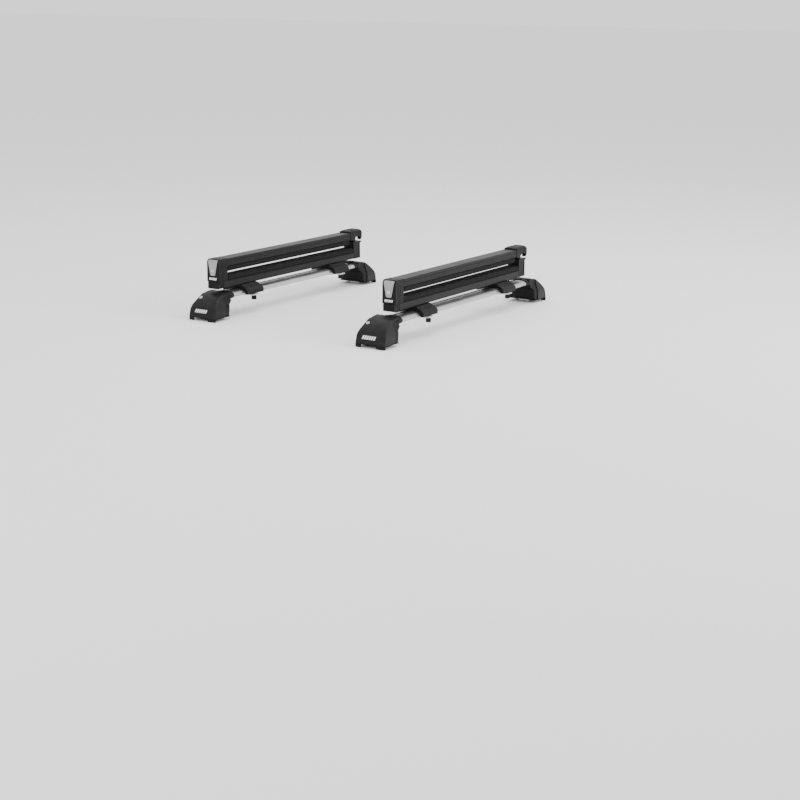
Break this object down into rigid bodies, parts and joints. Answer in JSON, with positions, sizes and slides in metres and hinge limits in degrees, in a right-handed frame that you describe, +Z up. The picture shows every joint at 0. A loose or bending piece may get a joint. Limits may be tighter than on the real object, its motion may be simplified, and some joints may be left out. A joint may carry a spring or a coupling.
{
  "type": "roof ski rack",
  "caption": "Car-roof ski rack: aero crossbars on clamping feet carry hinged, lockable clamps whose rubber pads hold skis or a snowboard flat across the roof.",
  "frame": {"origin": "on the plane that the feet stand on, midway between the crossbars and between the feet", "axes": "+X to the front of the car, +Y to the side with the arm hinges, +Z up"},
  "size_m": [0.81, 1.064, 0.21],
  "materials": {
    "black_alloy": "satin black anodised",
    "silver_alloy": "clear anodised, brushed along its length",
    "black_plastic": "fine grained moulding",
    "satin_plastic": "satin moulding",
    "grey_plastic": "satin light grey moulding",
    "rubber": "matt ribbed",
    "steel": "zinc plated",
    "lock_metal": "satin plated"
  },
  "bodies": {
    "root": {"front_crossbar": "silver_alloy", "front_base_rail": "black_alloy", "front_base_pad": "rubber", "front_base_end_block": "black_plastic", "front_hinge_tower": "black_plastic", "front_saddle_near": "black_plastic", "front_saddle_far": "black_plastic", "front_near_foot_body": "black_plastic", "front_near_foot_pad": "rubber", "front_far_foot_body": "black_plastic", "front_far_foot_pad": "rubber", "rear_crossbar": "silver_alloy", "rear_base_rail": "black_alloy", "rear_base_pad": "rubber", "rear_base_end_block": "black_plastic", "rear_hinge_tower": "black_plastic", "rear_saddle_near": "black_plastic", "rear_saddle_far": "black_plastic", "rear_near_foot_body": "black_plastic", "rear_near_foot_pad": "rubber", "rear_far_foot_body": "black_plastic", "rear_far_foot_pad": "rubber"},
    "front_link": {"front_lift_link": "steel"},
    "front_arm": {"front_arm_rail": "black_alloy", "front_arm_pad": "rubber", "front_arm_end_cap": "black_plastic", "front_latch_housing": "black_plastic"},
    "front_button": {"front_release_button": "grey_plastic"},
    "front_lock": {"front_lock_core": "lock_metal"},
    "front_strap_near": {"front_strap_near": "steel"},
    "front_knob_near": {"front_knob_near": "black_plastic"},
    "front_strap_far": {"front_strap_far": "steel"},
    "front_knob_far": {"front_knob_far": "black_plastic"},
    "front_near_foot_cover": {"front_near_foot_cover": "satin_plastic"},
    "front_near_foot_claw": {"front_near_foot_claw": "steel"},
    "front_near_foot_bolt": {"front_near_foot_tension_bolt": "steel"},
    "front_near_foot_lock": {"front_near_foot_lock": "lock_metal"},
    "front_far_foot_cover": {"front_far_foot_cover": "satin_plastic"},
    "front_far_foot_claw": {"front_far_foot_claw": "steel"},
    "front_far_foot_bolt": {"front_far_foot_tension_bolt": "steel"},
    "front_far_foot_lock": {"front_far_foot_lock": "lock_metal"},
    "rear_link": {"rear_lift_link": "steel"},
    "rear_arm": {"rear_arm_rail": "black_alloy", "rear_arm_pad": "rubber", "rear_arm_end_cap": "black_plastic", "rear_latch_housing": "black_plastic"},
    "rear_button": {"rear_release_button": "grey_plastic"},
    "rear_lock": {"rear_lock_core": "lock_metal"},
    "rear_strap_near": {"rear_strap_near": "steel"},
    "rear_knob_near": {"rear_knob_near": "black_plastic"},
    "rear_strap_far": {"rear_strap_far": "steel"},
    "rear_knob_far": {"rear_knob_far": "black_plastic"},
    "rear_near_foot_cover": {"rear_near_foot_cover": "satin_plastic"},
    "rear_near_foot_claw": {"rear_near_foot_claw": "steel"},
    "rear_near_foot_bolt": {"rear_near_foot_tension_bolt": "steel"},
    "rear_near_foot_lock": {"rear_near_foot_lock": "lock_metal"},
    "rear_far_foot_cover": {"rear_far_foot_cover": "satin_plastic"},
    "rear_far_foot_claw": {"rear_far_foot_claw": "steel"},
    "rear_far_foot_bolt": {"rear_far_foot_tension_bolt": "steel"},
    "rear_far_foot_lock": {"rear_far_foot_lock": "lock_metal"}
  },
  "joints": [
    {"name": "front_lift_slide", "type": "slide", "parent": "root", "child": "front_link", "axis": [0, 0, 1], "range_m": [0, 0.02]},
    {"name": "front_arm_hinge", "type": "hinge", "parent": "front_link", "child": "front_arm", "pos_m": [0.35, 0.404, 0.194], "axis": [-1, 0, 0], "range_deg": [0, 90]},
    {"name": "front_button_press", "type": "slide", "parent": "front_arm", "child": "front_button", "axis": [0, 1, 0], "range_m": [0, 0.006], "stiffness_N_per_m": 400, "springref_m": -0.005},
    {"name": "front_lock_turn", "type": "hinge", "parent": "front_button", "child": "front_lock", "pos_m": [0.35, -0.425, 0.161], "axis": [0, -1, 0], "range_deg": [0, 90]},
    {"name": "front_strap_near_slide", "type": "slide", "parent": "root", "child": "front_strap_near", "axis": [0, 0, -1], "range_m": [0, 0.005]},
    {"name": "front_knob_near_turn", "type": "hinge", "parent": "front_strap_near", "child": "front_knob_near", "pos_m": [0.3956, -0.26, 0.052], "axis": [0, 0, -1], "range_deg": [0, 1440]},
    {"name": "front_strap_far_slide", "type": "slide", "parent": "root", "child": "front_strap_far", "axis": [0, 0, -1], "range_m": [0, 0.005]},
    {"name": "front_knob_far_turn", "type": "hinge", "parent": "front_strap_far", "child": "front_knob_far", "pos_m": [0.3956, 0.26, 0.052], "axis": [0, 0, -1], "range_deg": [0, 1440]},
    {"name": "front_near_foot_cover_hinge", "type": "hinge", "parent": "root", "child": "front_near_foot_cover", "pos_m": [0.35, -0.5305, 0.0145], "axis": [1, 0, 0], "range_deg": [0, 100]},
    {"name": "front_near_foot_lock_turn", "type": "hinge", "parent": "front_near_foot_cover", "child": "front_near_foot_lock", "pos_m": [0.318, -0.4936, 0.0719], "axis": [0, -0.5688, 0.8225], "range_deg": [0, 90]},
    {"name": "front_near_foot_bolt_turn", "type": "hinge", "parent": "root", "child": "front_near_foot_bolt", "pos_m": [0.35, -0.516, 0.034], "axis": [0, -1, 0], "range_deg": [0, 1440]},
    {"name": "front_near_foot_claw_slide", "type": "slide", "parent": "root", "child": "front_near_foot_claw", "axis": [0, 1, 0], "range_m": [0, 0.005]},
    {"name": "front_far_foot_cover_hinge", "type": "hinge", "parent": "root", "child": "front_far_foot_cover", "pos_m": [0.35, 0.5305, 0.0145], "axis": [-1, 0, 0], "range_deg": [0, 100]},
    {"name": "front_far_foot_lock_turn", "type": "hinge", "parent": "front_far_foot_cover", "child": "front_far_foot_lock", "pos_m": [0.382, 0.4936, 0.0719], "axis": [0, 0.5688, 0.8225], "range_deg": [0, 90]},
    {"name": "front_far_foot_bolt_turn", "type": "hinge", "parent": "root", "child": "front_far_foot_bolt", "pos_m": [0.35, 0.516, 0.034], "axis": [0, 1, 0], "range_deg": [0, 1440]},
    {"name": "front_far_foot_claw_slide", "type": "slide", "parent": "root", "child": "front_far_foot_claw", "axis": [0, -1, 0], "range_m": [0, 0.005]},
    {"name": "rear_lift_slide", "type": "slide", "parent": "root", "child": "rear_link", "axis": [0, 0, 1], "range_m": [0, 0.02]},
    {"name": "rear_arm_hinge", "type": "hinge", "parent": "rear_link", "child": "rear_arm", "pos_m": [-0.35, 0.404, 0.194], "axis": [-1, 0, 0], "range_deg": [0, 90]},
    {"name": "rear_button_press", "type": "slide", "parent": "rear_arm", "child": "rear_button", "axis": [0, 1, 0], "range_m": [0, 0.006], "stiffness_N_per_m": 400, "springref_m": -0.005},
    {"name": "rear_lock_turn", "type": "hinge", "parent": "rear_button", "child": "rear_lock", "pos_m": [-0.35, -0.425, 0.161], "axis": [0, -1, 0], "range_deg": [0, 90]},
    {"name": "rear_strap_near_slide", "type": "slide", "parent": "root", "child": "rear_strap_near", "axis": [0, 0, -1], "range_m": [0, 0.005]},
    {"name": "rear_knob_near_turn", "type": "hinge", "parent": "rear_strap_near", "child": "rear_knob_near", "pos_m": [-0.3044, -0.26, 0.052], "axis": [0, 0, -1], "range_deg": [0, 1440]},
    {"name": "rear_strap_far_slide", "type": "slide", "parent": "root", "child": "rear_strap_far", "axis": [0, 0, -1], "range_m": [0, 0.005]},
    {"name": "rear_knob_far_turn", "type": "hinge", "parent": "rear_strap_far", "child": "rear_knob_far", "pos_m": [-0.3044, 0.26, 0.052], "axis": [0, 0, -1], "range_deg": [0, 1440]},
    {"name": "rear_near_foot_cover_hinge", "type": "hinge", "parent": "root", "child": "rear_near_foot_cover", "pos_m": [-0.35, -0.4865, 0.0145], "axis": [1, 0, 0], "range_deg": [0, 100]},
    {"name": "rear_near_foot_lock_turn", "type": "hinge", "parent": "rear_near_foot_cover", "child": "rear_near_foot_lock", "pos_m": [-0.382, -0.4496, 0.0719], "axis": [0, -0.5688, 0.8225], "range_deg": [0, 90]},
    {"name": "rear_near_foot_bolt_turn", "type": "hinge", "parent": "root", "child": "rear_near_foot_bolt", "pos_m": [-0.35, -0.472, 0.034], "axis": [0, -1, 0], "range_deg": [0, 1440]},
    {"name": "rear_near_foot_claw_slide", "type": "slide", "parent": "root", "child": "rear_near_foot_claw", "axis": [0, 1, 0], "range_m": [0, 0.005]},
    {"name": "rear_far_foot_cover_hinge", "type": "hinge", "parent": "root", "child": "rear_far_foot_cover", "pos_m": [-0.35, 0.4865, 0.0145], "axis": [-1, 0, 0], "range_deg": [0, 100]},
    {"name": "rear_far_foot_lock_turn", "type": "hinge", "parent": "rear_far_foot_cover", "child": "rear_far_foot_lock", "pos_m": [-0.318, 0.4496, 0.0719], "axis": [0, 0.5688, 0.8225], "range_deg": [0, 90]},
    {"name": "rear_far_foot_bolt_turn", "type": "hinge", "parent": "root", "child": "rear_far_foot_bolt", "pos_m": [-0.35, 0.472, 0.034], "axis": [0, 1, 0], "range_deg": [0, 1440]},
    {"name": "rear_far_foot_claw_slide", "type": "slide", "parent": "root", "child": "rear_far_foot_claw", "axis": [0, -1, 0], "range_m": [0, 0.005]}
  ],
  "couplings": [
    {"joint": "front_knob_near_turn", "follows": "front_strap_near_slide", "rad_per_m": 5026},
    {"joint": "front_knob_far_turn", "follows": "front_strap_far_slide", "rad_per_m": 5026},
    {"joint": "front_near_foot_bolt_turn", "follows": "front_near_foot_claw_slide", "rad_per_m": 5026},
    {"joint": "front_far_foot_bolt_turn", "follows": "front_far_foot_claw_slide", "rad_per_m": 5026},
    {"joint": "rear_knob_near_turn", "follows": "rear_strap_near_slide", "rad_per_m": 5026},
    {"joint": "rear_knob_far_turn", "follows": "rear_strap_far_slide", "rad_per_m": 5026},
    {"joint": "rear_near_foot_bolt_turn", "follows": "rear_near_foot_claw_slide", "rad_per_m": 5026},
    {"joint": "rear_far_foot_bolt_turn", "follows": "rear_far_foot_claw_slide", "rad_per_m": 5026}
  ]
}
